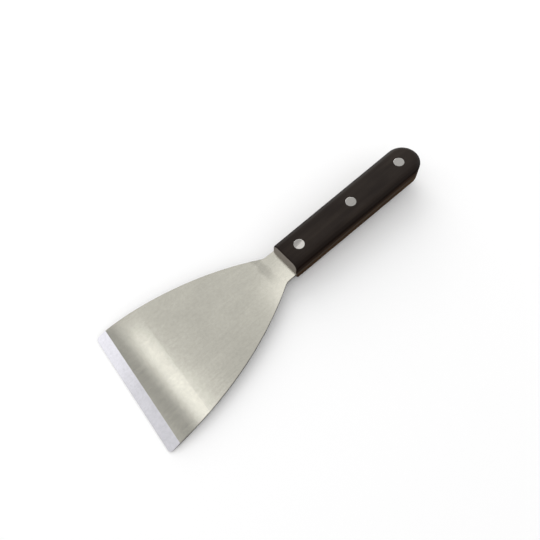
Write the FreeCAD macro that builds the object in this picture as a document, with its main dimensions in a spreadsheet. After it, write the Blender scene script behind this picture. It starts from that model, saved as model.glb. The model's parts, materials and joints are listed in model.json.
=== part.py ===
import FreeCAD, Part
import os
import Sketcher

# A grill spatula: one stainless sheet makes the blade, the neck and a full tang, and two wooden
# scales are held to the tang by three cutler's rivets, each a sleeve half and a post half.
#
# Frame, in millimetres: +X runs from the blade's edge towards the butt of the handle, +Z is up,
# and Y is across. X = 0 is halfway along the tool, Y = 0 is its plane of symmetry, and Z = 0 is
# the underside of the lower scale.

# Each line holds a driving dimension's alias, its size in millimetres or degrees, and its meaning.
DIMENSIONS = [
    ("blade_length", 133, "from the edge of the blade to the front of the handle"),
    ("handle_length", 132, "from the front of the handle to the end of the butt"),
    ("edge_width", 94, "width of the blade at its edge"),
    ("sheet_thickness", 1.6, "thickness of the steel sheet"),
    ("bow_radius", 244, "radius of the bowed sides of the blade"),
    ("corner_radius", 2.5, "rounding of the two corners of the edge"),
    ("shoulder_radius", 8, "inside rounding where the sides meet the neck"),
    ("neck_width", 25, "width of the neck and of the front of the handle"),
    ("neck_length", 8.8, "from the shoulders to the front of the handle"),
    ("bend_angle", 5, "how far the lip is bent down, in degrees"),
    ("bend_length", 24, "length of the bend, along the blade"),
    ("lip_length", 9, "straight lip between the bend and the edge"),
    ("bevel_length", 8.5, "ground bevel on top of the lip"),
    ("edge_thickness", 0.3, "height of the blunt edge that the bevel leaves"),
    ("trim_allowance", 10, "how far the cut that thins the blank runs on past it"),
    ("butt_swell", 0.85, "how far each side of the handle widens out to the round butt"),
    ("scale_thickness", 8.9, "thickness of each wooden scale"),
    ("scale_edge_radius", 4.5, "rounding of a scale's long outer edges"),
    ("front_edge_radius", 1.2, "eased edge round the front of a scale"),
    ("front_lean", 9, "how far the front of a scale leans back, in degrees"),
    ("front_rivet_inset", 14.5, "from the front of the handle to the front rivet"),
    ("butt_rivet_inset", 17.5, "from the end of the butt to the butt rivet"),
    ("head_diameter", 8, "diameter of a rivet head"),
    ("head_thickness", 2, "thickness of a rivet head, which is flush with the wood"),
    ("head_edge_radius", 0.3, "rounding of the rim of a rivet head"),
    ("head_clearance", 0.05, "gap round a rivet head"),
    ("sleeve_diameter", 5, "outside diameter of a rivet's sleeve"),
    ("sleeve_clearance", 0.1, "gap between a sleeve and its hole"),
    ("post_diameter", 3, "diameter of the post that is pressed into the sleeve"),
    ("post_clearance", 0.01, "gap between a post and its sleeve"),
    ("post_lead_in", 0.4, "chamfer on the tip of a post"),
    ("stem_end_gap", 0.5, "gap past the end of a sleeve and of a post"),
]

# Places along the tool.
EDGE_X = "-(dims.blade_length + dims.handle_length) / 2"
LIP_X = f"{EDGE_X} + dims.lip_length"
BEND_X = f"{LIP_X} + dims.bend_length"
FRONT_X = "(dims.blade_length - dims.handle_length) / 2"
SHOULDER_X = f"{FRONT_X} - dims.neck_length"
BUTT_X = "(dims.blade_length + dims.handle_length) / 2"
BUTT_RADIUS = "dims.neck_width / 2 + dims.butt_swell"
BUTT_CENTRE_X = f"{BUTT_X} - ({BUTT_RADIUS})"
FRONT_RIVET_X = f"{FRONT_X} + dims.front_rivet_inset"
BUTT_RIVET_X = f"{BUTT_X} - dims.butt_rivet_inset"
RIVET_PLACES = {
    "front": FRONT_RIVET_X,
    "middle": f"({FRONT_RIVET_X} + {BUTT_RIVET_X}) / 2",
    "butt": BUTT_RIVET_X,
}

# Places across it. The long sides of the handle taper, and run tangent into the round butt.
HALF_EDGE = "dims.edge_width / 2"
HALF_NECK = "dims.neck_width / 2"
SIDE_RUN = f"({BUTT_CENTRE_X} - {FRONT_X})"
BUTT_SIGHT = f"asin(({BUTT_RADIUS}) / sqrt({SIDE_RUN} ^ 2 + ({HALF_NECK}) ^ 2))"
TAPER = f"{BUTT_SIGHT} - atan(({HALF_NECK}) / {SIDE_RUN})"
SIDE_END_X = f"{BUTT_CENTRE_X} - ({BUTT_RADIUS}) * sin({TAPER})"
SIDE_END_Y = f"({BUTT_RADIUS}) * cos({TAPER})"


# Heights of the sheet. The bend drops the lip from the flat tang and blade.
TANG_BOTTOM_Z = "dims.scale_thickness"
TANG_TOP_Z = "dims.scale_thickness + dims.sheet_thickness"
LIP_ANGLE = "dims.bend_angle * 1 deg"
LOWER_BEND_RADIUS = f"dims.bend_length / sin({LIP_ANGLE})"
UPPER_BEND_RADIUS = f"{LOWER_BEND_RADIUS} + dims.sheet_thickness"
LOWER_LIP_Z = f"{TANG_BOTTOM_Z} - ({LOWER_BEND_RADIUS}) * (1 - cos({LIP_ANGLE}))"
UPPER_LIP_X = f"{BEND_X} - ({UPPER_BEND_RADIUS}) * sin({LIP_ANGLE})"
UPPER_LIP_Z = f"{TANG_TOP_Z} - ({UPPER_BEND_RADIUS}) * (1 - cos({LIP_ANGLE}))"
LOWER_EDGE_Z = f"{LOWER_LIP_Z} - dims.lip_length * tan({LIP_ANGLE})"
BEVEL_X = f"{EDGE_X} + dims.bevel_length"
BEVEL_Z = f"{UPPER_LIP_Z} - ({UPPER_LIP_X} - ({BEVEL_X})) * tan({LIP_ANGLE})"

# The blade starts as a blank of its outline, as high as the handle, and a cut leaves the sheet.
HANDLE_TOP_Z = f"{TANG_TOP_Z} + dims.scale_thickness"
CUT_START_X = f"{EDGE_X} - dims.trim_allowance"
CUT_END_X = f"{BUTT_X} + dims.trim_allowance"
CUT_BOTTOM_Z = "-dims.trim_allowance"
CUT_TOP_Z = f"{HANDLE_TOP_Z} + dims.trim_allowance"

# A rivet's two heads sit in the outer faces of the scales, and its stems meet between them.
SEAT_Z = "dims.scale_thickness - dims.head_thickness"
STEM_LENGTH = f"2 * ({SEAT_Z}) + dims.sheet_thickness - dims.stem_end_gap"
HEAD_RADIUS = "dims.head_diameter / 2"
SEAT_RADIUS = f"{HEAD_RADIUS} + dims.head_clearance"
SLEEVE_RADIUS = "dims.sleeve_diameter / 2"
HOLE_RADIUS = f"{SLEEVE_RADIUS} + dims.sleeve_clearance"
POST_RADIUS = "dims.post_diameter / 2"
BORE_RADIUS = f"{POST_RADIUS} + dims.post_clearance"

# The front of a scale leans back, and the cut that makes it so runs on past the wood.
LEAN = "dims.front_lean * 1 deg"
LEAN_CUT_HEIGHT = "2 * dims.scale_thickness"
LEAN_CUT_X = f"{FRONT_X} + {LEAN_CUT_HEIGHT} * tan({LEAN})"
LEAN_START_X = f"{FRONT_X} - dims.scale_thickness"

# Vertices of a sketch's edge, and the sketch's own X axis.
START = 1
END = 2
CENTRE = 3
X_AXIS = -1

TOLERANCE = 0.001


def make_sheet():
    """Write the driving dimensions into the document's spreadsheet."""
    sheet = DOCUMENT.addObject("Spreadsheet::Sheet", "dims")
    for row, (alias, size, meaning) in enumerate(DIMENSIONS, start=1):
        sheet.set(f"A{row}", meaning)
        sheet.set(f"B{row}", str(size))
        sheet.setAlias(f"B{row}", alias)
    DOCUMENT.recompute()
    return sheet


def value(expression):
    """What an expression comes to with the sizes in the sheet."""
    return float(SHEET.evalExpression(expression))


def new_body(label, x="0", z="0", turned_over=False):
    """An empty body, placed by expressions and turned over about X where asked."""
    body = DOCUMENT.addObject("PartDesign::Body", label)
    if turned_over:
        half_turn = FreeCAD.Rotation(FreeCAD.Vector(1, 0, 0), 180)
        body.Placement = FreeCAD.Placement(FreeCAD.Vector(), half_turn)
    body.setExpression("Placement.Base.x", x)
    body.setExpression("Placement.Base.z", z)
    return body


def new_sketch(body, name, role, raised="0"):
    """A sketch on one of the body's own origin planes, raised off it by an expression."""
    sketch = body.newObject("Sketcher::SketchObject", f"{body.Name}_{name}")
    planes = [plane for plane in body.Origin.OriginFeatures if plane.Role == role]
    sketch.AttachmentSupport = (planes[0], [""])
    sketch.MapMode = "FlatFace"
    sketch.setExpression("AttachmentOffset.Base.z", raised)
    return sketch


def constrain(sketch, expression, kind, *where):
    """Add a dimension to a sketch and bind it to an expression."""
    number = sketch.addConstraint(Sketcher.Constraint(kind, *where, value(expression)))
    sketch.setExpression(f"Constraints[{number}]", expression)


def arc_between(start, end, radius):
    """The shorter arc from start to end, anticlockwise about its centre."""
    chord = end - start
    inwards = FreeCAD.Vector(-chord.y, chord.x, 0).normalize()
    depth = (radius ** 2 - (chord.Length / 2) ** 2) ** 0.5
    crown = (start + end) * 0.5 + inwards * (depth - radius)
    return Part.Arc(start, crown, end)


def draw_loop(sketch, corners):
    """Draw a closed outline, anticlockwise, and hold each corner by expressions.

    A corner is its two coordinates. Where an arc leads to the next corner, they are followed by
    the way it bows, out or in, and its radius.
    """
    edges = []
    for (x, y, *arc), (next_x, next_y, *_) in zip(corners, corners[1:] + corners[:1]):
        here = FreeCAD.Vector(value(x), value(y), 0)
        there = FreeCAD.Vector(value(next_x), value(next_y), 0)
        if not arc:
            edges.append((sketch.addGeometry(Part.LineSegment(here, there)), START, END))
        elif arc[0] == "out":
            curve = arc_between(here, there, value(arc[1]))
            edges.append((sketch.addGeometry(curve), START, END))
        else:
            curve = arc_between(there, here, value(arc[1]))
            edges.append((sketch.addGeometry(curve), END, START))
    for (x, y, *arc), (edge, first, last), (next_edge, next_first, _) in zip(
            corners, edges, edges[1:] + edges[:1]):
        sketch.addConstraint(Sketcher.Constraint("Coincident", edge, last, next_edge, next_first))
        constrain(sketch, x, "DistanceX", edge, first)
        constrain(sketch, y, "DistanceY", edge, first)
        if arc:
            constrain(sketch, arc[1], "Radius", edge)


def draw_rivet_circles(sketch, radius):
    """A circle round each rivet's axis."""
    for place in RIVET_PLACES.values():
        centre = FreeCAD.Vector(value(place), 0, 0)
        upwards = FreeCAD.Vector(0, 0, 1)
        circle = sketch.addGeometry(Part.Circle(centre, upwards, value(radius)))
        sketch.addConstraint(Sketcher.Constraint("PointOnObject", circle, CENTRE, X_AXIS))
        constrain(sketch, place, "DistanceX", circle, CENTRE)
        constrain(sketch, radius, "Radius", circle)


def add_pad(body, sketch, length):
    """Pad a sketch by an expression."""
    pad = body.newObject("PartDesign::Pad", f"{body.Name}_pad")
    pad.Profile = sketch
    pad.setExpression("Length", length)


def add_pocket(body, sketch, depth=None):
    """Cut a sketch into the body, to a depth below it or right through both ways."""
    DOCUMENT.recompute()
    volume_before = body.Shape.Volume
    pocket = body.newObject("PartDesign::Pocket", f"{sketch.Name}_cut")
    pocket.Profile = sketch
    if depth:
        pocket.setExpression("Length", depth)
    else:
        pocket.Type = "ThroughAll"
        pocket.SideType = "Symmetric"
    DOCUMENT.recompute()
    if body.Shape.Volume > volume_before - TOLERANCE:
        raise RuntimeError(f"{pocket.Name} cuts nothing")


def add_revolution(body, sketch):
    """Turn a profile once round its own upright axis."""
    revolution = body.newObject("PartDesign::Revolution", f"{body.Name}_revolution")
    revolution.Profile = sketch
    revolution.ReferenceAxis = (sketch, ["V_Axis"])


def add_fillet(body, name, radius, is_chosen):
    """Round those edges of the body that is_chosen picks out."""
    DOCUMENT.recompute()
    base = body.Tip
    edges = [f"Edge{n}" for n, edge in enumerate(base.Shape.Edges, start=1) if is_chosen(edge)]
    if not edges:
        raise RuntimeError(f"{body.Name} has no edge for {name}")
    rounding = body.newObject("PartDesign::Fillet", f"{body.Name}_{name}")
    rounding.Base = (base, edges)
    rounding.setExpression("Radius", radius)


def handle_sides():
    """The corners of the handle's long sides and round butt, from the front's right to its left."""
    return [
        (FRONT_X, f"-{HALF_NECK}"),
        (SIDE_END_X, f"-({SIDE_END_Y})", "out", BUTT_RADIUS),
        (BUTT_X, "0", "out", BUTT_RADIUS),
        (SIDE_END_X, SIDE_END_Y),
        (FRONT_X, HALF_NECK),
    ]


def upright_edges_at(x, y):
    """A test for the upright edges that stand at x and at y on either side."""
    place = value(x)
    offset = value(y)

    def stands_there(edge):
        return all(abs(vertex.X - place) < TOLERANCE and abs(abs(vertex.Y) - offset) < TOLERANCE
                   for vertex in edge.Vertexes)

    return stands_there


def make_blade():
    """The sheet: a blank of its outline, cut down to its side profile and drilled."""
    body = new_body("blade")
    outline = new_sketch(body, "outline", "XY_Plane")
    draw_loop(outline, handle_sides() + [
        (SHOULDER_X, HALF_NECK, "out", "dims.bow_radius"),
        (EDGE_X, HALF_EDGE),
        (EDGE_X, f"-{HALF_EDGE}", "out", "dims.bow_radius"),
        (SHOULDER_X, f"-{HALF_NECK}"),
    ])
    add_pad(body, outline, HANDLE_TOP_Z)
    add_fillet(body, "corners", "dims.corner_radius", upright_edges_at(EDGE_X, HALF_EDGE))
    add_fillet(body, "shoulders", "dims.shoulder_radius", upright_edges_at(SHOULDER_X, HALF_NECK))

    profile = new_sketch(body, "profile", "XZ_Plane")
    draw_loop(profile, [
        (CUT_START_X, CUT_BOTTOM_Z),
        (CUT_END_X, CUT_BOTTOM_Z),
        (CUT_END_X, CUT_TOP_Z),
        (CUT_START_X, CUT_TOP_Z),
    ])
    draw_loop(profile, [
        (EDGE_X, LOWER_EDGE_Z),
        (LIP_X, LOWER_LIP_Z, "in", LOWER_BEND_RADIUS),
        (BEND_X, TANG_BOTTOM_Z),
        (BUTT_X, TANG_BOTTOM_Z),
        (BUTT_X, TANG_TOP_Z),
        (BEND_X, TANG_TOP_Z, "out", UPPER_BEND_RADIUS),
        (UPPER_LIP_X, UPPER_LIP_Z),
        (BEVEL_X, BEVEL_Z),
        (EDGE_X, f"{LOWER_EDGE_Z} + dims.edge_thickness"),
    ])
    add_pocket(body, profile)

    holes = new_sketch(body, "rivet_holes", "XY_Plane")
    draw_rivet_circles(holes, HOLE_RADIUS)
    add_pocket(body, holes)
    return body


def make_scale(label, z, turned_over):
    """A scale, with its inner face down on the tang unless it is turned over."""
    body = new_body(label, z=z, turned_over=turned_over)
    outline = new_sketch(body, "outline", "XY_Plane")
    draw_loop(outline, handle_sides())
    add_pad(body, outline, "dims.scale_thickness")

    lean = new_sketch(body, "lean", "XZ_Plane")
    draw_loop(lean, [
        (FRONT_X, "0"),
        (LEAN_CUT_X, LEAN_CUT_HEIGHT),
        (LEAN_START_X, LEAN_CUT_HEIGHT),
        (LEAN_START_X, "0"),
    ])
    add_pocket(body, lean)

    thickness = value("dims.scale_thickness")
    front = value(FRONT_X)
    slope = value(f"tan({LEAN})")

    def is_long_outer_edge(edge):
        return edge.BoundBox.ZMin > thickness - TOLERANCE and edge.BoundBox.XLength > TOLERANCE

    def is_round_the_front(edge):
        offsets = [vertex.X - front - vertex.Z * slope for vertex in edge.Vertexes]
        on_front = all(abs(offset) < TOLERANCE for offset in offsets)
        return on_front and edge.BoundBox.ZMax > TOLERANCE

    add_fillet(body, "outer_rounding", "dims.scale_edge_radius", is_long_outer_edge)
    add_fillet(body, "front_rounding", "dims.front_edge_radius", is_round_the_front)

    holes = new_sketch(body, "rivet_holes", "XY_Plane")
    draw_rivet_circles(holes, HOLE_RADIUS)
    add_pocket(body, holes)

    seats = new_sketch(body, "rivet_seats", "XY_Plane", raised="dims.scale_thickness")
    draw_rivet_circles(seats, SEAT_RADIUS)
    add_pocket(body, seats, "dims.head_thickness")
    return body


def make_rivet_half(label, x, z, turned_over, stem):
    """Half a rivet, turned about Z with its head up and its stem down, unless turned over."""
    body = new_body(label, x=x, z=z, turned_over=turned_over)
    profile = new_sketch(body, "profile", "XZ_Plane")
    draw_loop(profile, stem + [
        (HEAD_RADIUS, "0"),
        (HEAD_RADIUS, "dims.head_thickness"),
        ("0", "dims.head_thickness"),
    ])
    add_revolution(body, profile)

    rim_z = value("dims.head_thickness")
    add_fillet(body, "rim_rounding", "dims.head_edge_radius",
               lambda edge: edge.BoundBox.ZMin > rim_z - TOLERANCE)
    return body


def make_sleeve(name, x):
    """The upper half of a rivet, whose stem is a blind tube."""
    stem = [
        ("0", "0"),
        (BORE_RADIUS, "0"),
        (BORE_RADIUS, f"-({STEM_LENGTH})"),
        (SLEEVE_RADIUS, f"-({STEM_LENGTH})"),
        (SLEEVE_RADIUS, "0"),
    ]
    return make_rivet_half(f"rivet_{name}_sleeve", x, f"{TANG_TOP_Z} + {SEAT_Z}", False, stem)


def make_post(name, x):
    """The lower half of a rivet, whose stem is a post that fills the sleeve."""
    stem = [
        ("0", f"-({STEM_LENGTH})"),
        (f"{POST_RADIUS} - dims.post_lead_in", f"-({STEM_LENGTH})"),
        (POST_RADIUS, f"-({STEM_LENGTH}) + dims.post_lead_in"),
        (POST_RADIUS, "0"),
    ]
    return make_rivet_half(f"rivet_{name}_post", x, "dims.head_thickness", True, stem)


def check(bodies):
    """Stop if anything in the document failed or a sub-part isn't one valid solid."""
    for item in DOCUMENT.Objects:
        if {"Invalid", "Error"} & set(item.State):
            raise RuntimeError(f"{item.Label} failed: {item.State}")
    for body in bodies:
        shape = body.Shape
        if shape.isNull() or not shape.isValid() or len(shape.Solids) != 1:
            raise RuntimeError(f"{body.Label} isn't one valid solid")


DOCUMENT = FreeCAD.newDocument("grill_spatula")
SHEET = make_sheet()
BODIES = [
    make_blade(),
    make_scale("upper_scale", TANG_TOP_Z, False),
    make_scale("lower_scale", TANG_BOTTOM_Z, True),
]
for rivet, place in RIVET_PLACES.items():
    BODIES.append(make_sleeve(rivet, place))
    BODIES.append(make_post(rivet, place))
DOCUMENT.recompute()
check(BODIES)
os.makedirs("parts", exist_ok=True)
for part in BODIES:
    part.Shape.exportStep(f"parts/{part.Label}.step")
    print(part.Label, round(part.Shape.Volume, 1), part.Shape.BoundBox)
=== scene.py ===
import json
import math

import bpy
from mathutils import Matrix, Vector


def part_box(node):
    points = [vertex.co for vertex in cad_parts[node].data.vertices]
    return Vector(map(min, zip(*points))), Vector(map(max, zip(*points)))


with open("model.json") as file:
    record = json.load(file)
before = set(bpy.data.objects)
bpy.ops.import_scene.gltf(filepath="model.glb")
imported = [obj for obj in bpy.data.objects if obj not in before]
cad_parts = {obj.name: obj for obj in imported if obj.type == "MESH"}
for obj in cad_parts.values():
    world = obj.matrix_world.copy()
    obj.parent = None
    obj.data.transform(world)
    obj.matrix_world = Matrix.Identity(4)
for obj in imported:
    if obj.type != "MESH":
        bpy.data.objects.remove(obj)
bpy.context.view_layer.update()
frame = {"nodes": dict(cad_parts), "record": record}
nodes = frame["nodes"]

MILLIMETRE = 0.001

# The camera looks down from above one side of the blade, close and wide. Its place is in metres,
# its turn in degrees, and its lens and sensor in millimetres.
CAMERA_PLACE = (-0.06446, -0.10420, 0.25634)
CAMERA_TURN = (25.160, 6.564, -40.380)
CAMERA_LENS = 25.93
CAMERA_SENSOR = 36.0
CAMERA_NEAREST = 5.0 * MILLIMETRE

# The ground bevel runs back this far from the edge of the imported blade, and its colour fades out
# over a short way on either side of its end.
BLADE_LOW, BLADE_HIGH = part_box("blade")
BEVEL_LENGTH = 8.5 * MILLIMETRE
BEVEL_BACK = BLADE_LOW.x + BEVEL_LENGTH
BEVEL_FADE = 0.2 * MILLIMETRE

# The front and the end of the handle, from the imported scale.
SCALE_LOW, SCALE_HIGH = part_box("upper_scale")

# The painted shade ahead of the handle: a dark band painted into the steel's colour, standing in
# for the shading across the neck. Its middle, the half widths of its dark core and of its whole
# soft band, how far the band wanders, where it fades out sideways, and how much of the steel's
# brightness it takes.
PATCH_X = SCALE_LOW.x - 14.0 * MILLIMETRE
PATCH_CORE = 1.4 * MILLIMETRE
PATCH_REACH = 4.4 * MILLIMETRE
PATCH_WANDER = 1.2 * MILLIMETRE
PATCH_FADE_START = -9.0 * MILLIMETRE
PATCH_FADE_END = 1.0 * MILLIMETRE
PAINTED_SHADE_DARKENING = 0.18

# The handle's sides turn from black to brown between two heights, and the brown is stronger at
# the butt than at the front.
BLACK_ABOVE = 17.5 * MILLIMETRE
BROWN_BELOW = 8.5 * MILLIMETRE
BROWN_AT_FRONT = 0.72
BROWN_AT_BUTT = 1.02

# Almost all of a noise texture's values lie between these two.
NOISE_LOW = 0.3
NOISE_HIGH = 0.7

# The floor's width and length, and how far under the tool it lies.
FLOOR_SIZE = 20.0
FLOOR_GAP = 0.1 * MILLIMETRE

# The lights and the card hang at one height, placed from a point over the blade's bend.
BEND_FROM_EDGE = 26.0 * MILLIMETRE
BEND_PLACE = Vector((BLADE_LOW.x + BEND_FROM_EDGE, 0.0, BLADE_HIGH.z))
CEILING_HEIGHT = 0.60

# The white room's brightness at eye level and overhead, and the share of it under the floor.
WALL_RADIANCE = 1.25
CEILING_RADIANCE = 0.69
UNDERFLOOR_SHARE = 0.08


# ---- small helpers for node trees ----------------------------------------------------------


def ramp_node(tree, value, low, high, start, end, smooth=False):
    """Gives start below low, end above high, and blends from one to the other between them."""
    node = tree.nodes.new("ShaderNodeMapRange")
    node.interpolation_type = "SMOOTHSTEP" if smooth else "LINEAR"
    tree.links.new(value, node.inputs["Value"])
    for name, number in (
        ("From Min", low),
        ("From Max", high),
        ("To Min", start),
        ("To Max", end),
    ):
        node.inputs[name].default_value = number
    return node.outputs[0]


class Shader:
    """A material's node tree, with short calls for the nodes that the finishes share."""

    def __init__(self, name):
        self.material = bpy.data.materials.new(name)
        self.material.use_nodes = True
        self.tree = self.material.node_tree
        self.surface = self.tree.nodes["Principled BSDF"]
        coordinates = self.tree.nodes.new("ShaderNodeTexCoord")
        self.place = coordinates.outputs["Object"]

    def feed(self, socket, value):
        """Sets a socket to the value, or links them if the value is another node's output."""
        if isinstance(value, bpy.types.NodeSocket):
            self.tree.links.new(value, socket)
        else:
            socket.default_value = value

    def set(self, name, value):
        """Feeds one input of the surface."""
        self.feed(self.surface.inputs[name], value)

    def math(self, operation, first, second=0.0):
        node = self.tree.nodes.new("ShaderNodeMath")
        node.operation = operation
        self.feed(node.inputs[0], first)
        self.feed(node.inputs[1], second)
        return node.outputs[0]

    def product(self, first, second):
        return self.math("MULTIPLY", first, second)

    def total(self, first, *others):
        for value in others:
            first = self.math("ADD", first, value)
        return first

    def part_of(self, vector, letter):
        """One of the X, Y and Z parts of a vector."""
        node = self.tree.nodes.new("ShaderNodeSeparateXYZ")
        self.feed(node.inputs[0], vector)
        return node.outputs[letter]

    def along(self, letter):
        """The distance along one of the tool's own axes, in metres."""
        return self.part_of(self.place, letter)

    def facing(self, letter):
        """How far the surface faces along an axis: 1 towards its end, and -1 away from it."""
        geometry = self.tree.nodes.new("ShaderNodeNewGeometry")
        return self.part_of(geometry.outputs["Normal"], letter)

    def stretched(self, per_metre, turn):
        """The object's coordinates, scaled to features of so many per metre on each axis."""
        node = self.tree.nodes.new("ShaderNodeMapping")
        self.feed(node.inputs["Vector"], self.place)
        node.inputs["Rotation"].default_value = (0.0, 0.0, math.radians(turn))
        node.inputs["Scale"].default_value = per_metre
        return node.outputs[0]

    def noise(self, per_metre, detail=2.0, roughness=0.5, turn=0.0):
        node = self.tree.nodes.new("ShaderNodeTexNoise")
        self.feed(node.inputs["Vector"], self.stretched(per_metre, turn))
        node.inputs["Scale"].default_value = 1.0
        node.inputs["Detail"].default_value = detail
        node.inputs["Roughness"].default_value = roughness
        return node.outputs["Fac"]

    def ramp(self, value, low, high, start=0.0, end=1.0, smooth=False):
        return ramp_node(self.tree, value, low, high, start, end, smooth)

    def spread(self, noise, start, end):
        """Stretches a noise's usual values over start to end."""
        return self.ramp(noise, NOISE_LOW, NOISE_HIGH, start, end)

    def colours(self, value, stops):
        """A colour ramp through (position, colour) stops."""
        node = self.tree.nodes.new("ShaderNodeValToRGB")
        self.feed(node.inputs[0], value)
        elements = node.color_ramp.elements
        while len(elements) < len(stops):
            elements.new(1.0)
        for element, (position, colour) in zip(elements, stops):
            element.position = position
            element.color = (*colour, 1.0)
        return node.outputs[0]

    def mix(self, share, first, second):
        """The second colour where the share is 1, the first where it is 0."""
        node = self.tree.nodes.new("ShaderNodeMix")
        node.data_type = "RGBA"
        # The colours have sockets of their own, after those for numbers and vectors.
        first_socket, second_socket = node.inputs[6], node.inputs[7]
        mixed_socket = node.outputs[2]
        self.feed(node.inputs[0], share)
        for socket, colour in ((first_socket, first), (second_socket, second)):
            self.feed(socket, (*colour, 1.0) if isinstance(colour, tuple) else colour)
        return mixed_socket

    def shade(self, colour, brightness):
        """The colour times a brightness that varies over the surface."""
        node = self.tree.nodes.new("ShaderNodeVectorMath")
        node.operation = "SCALE"
        self.feed(node.inputs[0], colour)
        self.feed(node.inputs["Scale"], brightness)
        return node.outputs[0]

    def bump(self, height, depth):
        """Ridges of that depth in metres where the height goes from 0 to 1."""
        node = self.tree.nodes.new("ShaderNodeBump")
        node.inputs["Strength"].default_value = 1.0
        node.inputs["Distance"].default_value = depth
        self.feed(node.inputs["Height"], height)
        self.set("Normal", node.outputs[0])


# ---- materials -----------------------------------------------------------------------------


def blade_steel():
    """Satin steel: faint cloudy brushing, a bevel whose whiter, cooler colour is partly its real
    grinding and partly painted reflection, a band of painted shade across the neck, and dull
    sheared sides."""
    steel = Shader("blade_steel")
    satin = (0.650, 0.632, 0.556)
    # The bevel's colour is lighter and cooler than the satin: partly its real ground finish, partly
    # painted reflection of a cool bright light.
    ground_and_painted_reflection = (0.735, 0.727, 0.770)
    sheared = (0.330, 0.275, 0.205)

    clouds = steel.noise((45.0, 45.0, 45.0), detail=3.0)
    specks = steel.noise((500.0, 500.0, 500.0))
    lines = steel.noise((40.0, 2600.0, 40.0))
    brightness = steel.total(
        steel.spread(clouds, 0.955, 1.045),
        steel.ramp(specks, 0.35, 0.65, -0.025, 0.025),
        steel.spread(lines, -0.02, 0.02),
        # Painted shade: a dark band across the neck takes away part of the steel's brightness.
        steel.product(neck_painted_shade(steel), -PAINTED_SHADE_DARKENING),
    )
    on_bevel = steel.ramp(
        steel.along("X"), BEVEL_BACK - BEVEL_FADE, BEVEL_BACK + BEVEL_FADE, 1.0, 0.0
    )
    # The sheared sides stand upright, and the rest of the sheet is level or nearly so.
    facing_up = steel.math("ABSOLUTE", steel.facing("Z"))
    on_side = steel.ramp(facing_up, 0.4, 0.6, 1.0, 0.0)
    colour = steel.mix(on_side, steel.mix(on_bevel, satin, ground_and_painted_reflection), sheared)

    steel.set("Base Color", steel.shade(colour, brightness))
    steel.set("Metallic", 1.0)
    steel.set("Roughness", steel.spread(lines, 0.165, 0.215))
    steel.bump(lines, 0.0015 * MILLIMETRE)
    return steel.material


def neck_painted_shade(steel):
    """Where the painted shade goes: 1 in a soft band that crosses the +Y half of the blade ahead of
    the neck, and 0 around it.
    """
    wander = steel.spread(steel.noise((120.0, 120.0, 120.0)), -PATCH_WANDER, PATCH_WANDER)
    from_middle = steel.math("SUBTRACT", steel.total(steel.along("X"), wander), PATCH_X)
    distance = steel.math("ABSOLUTE", from_middle)
    in_band = steel.ramp(distance, PATCH_CORE, PATCH_REACH, 1.0, 0.0, smooth=True)
    in_half = steel.ramp(steel.along("Y"), PATCH_FADE_START, PATCH_FADE_END, smooth=True)
    return steel.product(in_band, in_half)


def handle_wood():
    """Dark resin-filled laminated wood: fine pores along the handle, and browner streaks low on
    the upright sides, strongest towards the butt. The front ends are painted paler: a painted
    reflection of the bright steel ahead of them."""
    wood = Shader("handle_wood")
    front_painted_reflection = (0.190, 0.170, 0.148)

    grain = wood.noise((16.0, 300.0, 300.0), detail=3.0, roughness=0.6)
    # The top's colour gives way to the sides' over the rounded edges. Only the cut front ends
    # face nearly straight towards -X.
    facing_up = wood.math("ABSOLUTE", wood.facing("Z"))
    on_side = wood.ramp(facing_up, 0.70, 0.98, 1.0, 0.0, smooth=True)
    on_front = wood.ramp(wood.facing("X"), -0.85, -0.95)
    colour = wood.mix(on_side, top_colour(wood, grain), side_colour(wood))

    # Painted reflection: faces turned towards -X, the front ends, get a paler colour.
    wood.set("Base Color", wood.mix(on_front, colour, front_painted_reflection))
    wood.set("Roughness", wood.spread(grain, 0.34, 0.44))
    wood.set("Specular IOR Level", 0.09)
    wood.bump(grain, 0.02 * MILLIMETRE)
    return wood.material


def top_colour(wood, grain):
    """Black with faint grey-brown clouds and lines of grain."""
    black = (0.0135, 0.0092, 0.0072)
    umber = (0.0270, 0.0200, 0.0155)
    grain_share = 0.35

    clouds = wood.noise((28.0, 70.0, 70.0), detail=3.0)
    figure = wood.total(
        wood.product(grain, grain_share),
        wood.product(clouds, 1.0 - grain_share),
    )
    return wood.colours(figure, ((0.36, black), (0.66, umber)))


def side_colour(wood):
    """Brown streaks along the sides that fade to black higher up."""
    pitch = (0.0060, 0.0023, 0.0007)
    russet = (0.0310, 0.0135, 0.0040)
    amber = (0.0570, 0.0300, 0.0090)

    streaks = wood.noise((16.0, 200.0, 520.0), detail=3.0)
    low_down = wood.ramp(wood.along("Z"), BLACK_ABOVE, BROWN_BELOW)
    towards_butt = wood.ramp(
        wood.along("X"), SCALE_LOW.x, SCALE_HIGH.x, BROWN_AT_FRONT, BROWN_AT_BUTT
    )
    brownness = wood.product(wood.product(low_down, towards_butt), streaks)
    return wood.colours(brownness, ((0.10, pitch), (0.36, russet), (0.62, amber)))


def rivet_steel():
    """Polished rivet heads with fine wiping scratches."""
    steel = Shader("rivet_steel")
    bright = (0.462, 0.449, 0.427)
    scratches = steel.noise((60.0, 1800.0, 60.0), turn=35.0)
    steel.set("Base Color", steel.shade(bright, steel.spread(scratches, 0.95, 1.05)))
    steel.set("Metallic", 1.0)
    steel.set("Roughness", steel.spread(scratches, 0.020, 0.050))
    steel.bump(scratches, 0.0002 * MILLIMETRE)
    return steel.material


def plain_paint(name, brightness):
    """Dull paint for the floor and the studio's card."""
    paint = Shader(name)
    paint.set("Base Color", (brightness, brightness, brightness, 1.0))
    paint.set("Roughness", 0.9)
    paint.set("Specular IOR Level", 0.1)
    return paint.material


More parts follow.
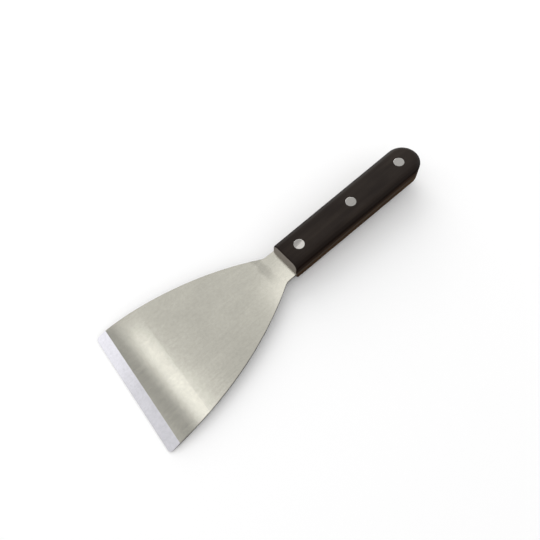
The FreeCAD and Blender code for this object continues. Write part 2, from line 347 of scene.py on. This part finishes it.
def finish_nodes():
    """Gives every CAD node its material, by the record's slot for it."""
    finishes = {
        "blade_steel": blade_steel(),
        "handle_wood": handle_wood(),
        "rivet_steel": rivet_steel(),
    }
    for part in frame["record"]["subparts"]:
        mesh = nodes[part["node"]].data
        mesh.materials.clear()
        mesh.materials.append(finishes[part["material_slot"]])


# ---- stage ---------------------------------------------------------------------------------


def sheet_object(name, width, length, material):
    """A flat sheet on the stage, lying in its own XY plane."""
    half_width, half_length = width / 2, length / 2
    corners = [
        (-half_width, -half_length, 0.0),
        (half_width, -half_length, 0.0),
        (half_width, half_length, 0.0),
        (-half_width, half_length, 0.0),
    ]
    mesh = bpy.data.meshes.new(name)
    mesh.from_pydata(corners, [], [(0, 1, 2, 3)])
    mesh.materials.append(material)
    sheet = bpy.data.objects.new(name, mesh)
    bpy.context.scene.collection.objects.link(sheet)
    return sheet


def make_floor():
    """The tool rests on its front edge and on the front of the lower scale, so the floor, not the
    tool, is tilted: it runs just under the front edge and the scale, and touches neither."""
    slope = min(
        (vertex.co.z - BLADE_LOW.z) / (vertex.co.x - BLADE_LOW.x)
        for vertex in nodes["lower_scale"].data.vertices
    )
    floor = sheet_object("floor", FLOOR_SIZE, FLOOR_SIZE, plain_paint("floor_paint", 0.97))
    floor.rotation_euler = (0.0, -math.atan(slope), 0.0)
    floor.location = (0.0, 0.0, BLADE_LOW.z - slope * BLADE_LOW.x - FLOOR_GAP)
    floor.visible_glossy = False


def hang(thing, lean_x, lean_y, turn=0.0):
    """Hangs a light or a card level, so that the line to it from the blade's bend leans from the
    vertical with slopes lean_x towards +X and lean_y towards +Y."""
    thing.location = (
        BEND_PLACE.x + lean_x * CEILING_HEIGHT,
        BEND_PLACE.y + lean_y * CEILING_HEIGHT,
        BEND_PLACE.z + CEILING_HEIGHT,
    )
    thing.rotation_euler = (0.0, 0.0, math.radians(turn))


def make_light(name, size, radiance, colour=(1.0, 1.0, 1.0)):
    """An area light whose face has that radiance."""
    lamp = bpy.data.lights.new(name, "AREA")
    lamp.shape = "RECTANGLE"
    lamp.size, lamp.size_y = size
    lamp.energy = radiance * math.pi * size[0] * size[1]
    lamp.color = colour
    light = bpy.data.objects.new(name, lamp)
    bpy.context.scene.collection.objects.link(light)
    return light


def make_walls():
    """A white room round the stage, dimmer overhead than at eye level. Under the floor it is dark,
    and that is what the sides of the tool mirror in place of the floor."""
    world = bpy.data.worlds.new("studio")
    world.use_nodes = True
    tree = world.node_tree
    direction = tree.nodes.new("ShaderNodeTexCoord")
    split = tree.nodes.new("ShaderNodeSeparateXYZ")
    tree.links.new(direction.outputs["Generated"], split.inputs[0])
    # Straight up is 1 and the horizon is 0.
    upward = split.outputs["Z"]
    room = ramp_node(tree, upward, 0.20, 0.90, WALL_RADIANCE, CEILING_RADIANCE)
    over_floor = ramp_node(tree, upward, -0.25, -0.12, UNDERFLOOR_SHARE, 1.0)
    strength = tree.nodes.new("ShaderNodeMath")
    strength.operation = "MULTIPLY"
    tree.links.new(room, strength.inputs[0])
    tree.links.new(over_floor, strength.inputs[1])
    background = tree.nodes["Background"]
    tree.links.new(strength.outputs[0], background.inputs["Strength"])
    background.inputs["Color"].default_value = (1.0, 1.0, 1.0, 1.0)
    bpy.context.scene.world = world


def make_studio():
    """Soft lights, and a card that shows only in reflections, hung where the steel mirrors them."""
    strip = make_light("strip_light", (0.075, 0.42), radiance=0.98, colour=(0.98, 0.99, 1.0))
    hang(strip, lean_x=-0.192, lean_y=0.255, turn=9.0)

    side = make_light("side_light", (0.50, 0.50), radiance=0.35, colour=(0.96, 0.96, 1.0))
    hang(side, lean_x=-1.00, lean_y=1.05)

    # This one brightens the neck, and its far edge runs across the front rivet's head.
    neck = make_light("neck_light", (0.180, 0.128), radiance=0.68)
    hang(neck, lean_x=0.450, lean_y=0.314, turn=8.0)

    # The main light faces the tool. The others face straight down.
    key = make_light("key_light", (1.20, 1.20), radiance=1.8)
    hang(key, lean_x=1.20, lean_y=1.90)
    key.rotation_euler = Vector(key.location).to_track_quat("Z", "Y").to_euler()

    card = sheet_object("grey_card", 0.090, 0.60, plain_paint("grey_cloth", 0.30))
    hang(card, lean_x=-0.389, lean_y=0.40, turn=14.0)
    card.visible_camera = False
    card.visible_diffuse = False
    card.visible_shadow = False


def make_camera():
    camera_data = bpy.data.cameras.new("camera")
    camera_data.sensor_width = CAMERA_SENSOR
    camera_data.lens = CAMERA_LENS
    camera_data.clip_start = CAMERA_NEAREST
    camera = bpy.data.objects.new("camera", camera_data)
    camera.location = CAMERA_PLACE
    camera.rotation_euler = [math.radians(angle) for angle in CAMERA_TURN]
    bpy.context.scene.collection.objects.link(camera)
    bpy.context.scene.camera = camera


# ---- scene ---------------------------------------------------------------------------------

bpy.context.scene.view_settings.view_transform = "Standard"
make_camera()
make_floor()
make_walls()
make_studio()
finish_nodes()
